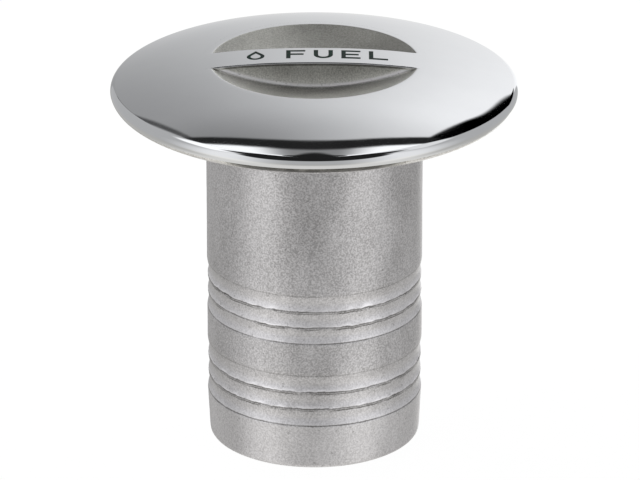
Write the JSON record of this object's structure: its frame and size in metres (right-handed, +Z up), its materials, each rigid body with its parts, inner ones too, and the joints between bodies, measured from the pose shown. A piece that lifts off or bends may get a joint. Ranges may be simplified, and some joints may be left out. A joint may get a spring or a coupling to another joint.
{
  "type": "deck fill cap",
  "caption": "Domed quarter-turn cap over a concealed deck flange with a barbed hose neck, sealed by an O-ring and kept by a link chain with a toggle bar.",
  "frame": {"origin": "centre of the neck's lower end, on the surface that the part stands on", "axes": "+Z up along the neck's axis, out of the deck; the grip bar runs along X, and +Y is away from the viewer"},
  "size_m": [0.094, 0.094, 0.0931],
  "materials": {
    "polished_steel": "mirror-polished stainless steel",
    "blasted_steel": "bead-blasted cast stainless steel",
    "turned_steel": "satin turned stainless steel",
    "chain_steel": "bright drawn stainless wire",
    "nitrile_rubber": "matte black nitrile rubber",
    "label_enamel": "dark green enamel in engraved lettering"
  },
  "bodies": {
    "deck_body": {"neck_flange": "blasted_steel"},
    "tether": {"swivel_eye": "turned_steel"},
    "cap": {"cap_cover": "polished_steel", "bayonet_plug": "turned_steel", "cap_o_ring": "nitrile_rubber", "seat_gasket": "nitrile_rubber", "cap_screw_left": "turned_steel", "cap_screw_right": "turned_steel", "spring_washer_left": "turned_steel", "spring_washer_right": "turned_steel", "swivel_bush": "turned_steel"},
    "chain": {"chain_link_1": "chain_steel", "chain_link_2": "chain_steel", "chain_link_3": "chain_steel", "chain_link_4": "chain_steel", "chain_link_5": "chain_steel", "chain_link_6": "chain_steel", "chain_link_7": "chain_steel", "chain_link_8": "chain_steel", "chain_link_9": "chain_steel"},
    "toggle": {"toggle_bar": "chain_steel"}
  },
  "joints": [
    {"name": "cap_lift", "type": "slide", "parent": "deck_body", "child": "tether", "axis": [0, 0, 1], "range_m": [0, 0.053]},
    {"name": "cap_turn", "type": "hinge", "parent": "tether", "child": "cap", "pos_m": [0, 0, 0.0767], "axis": [0, 0, 1], "range_deg": [-90, 0]},
    {"name": "chain_swing", "type": "hinge", "parent": "tether", "child": "chain", "pos_m": [0, 0, 0.0671], "axis": [0, 1, 0], "range_deg": [-7, 7]},
    {"name": "toggle_tilt", "type": "hinge", "parent": "chain", "child": "toggle", "pos_m": [0, 0, 0.02095], "axis": [1, 0, 0], "range_deg": [-45, 45]}
  ]
}
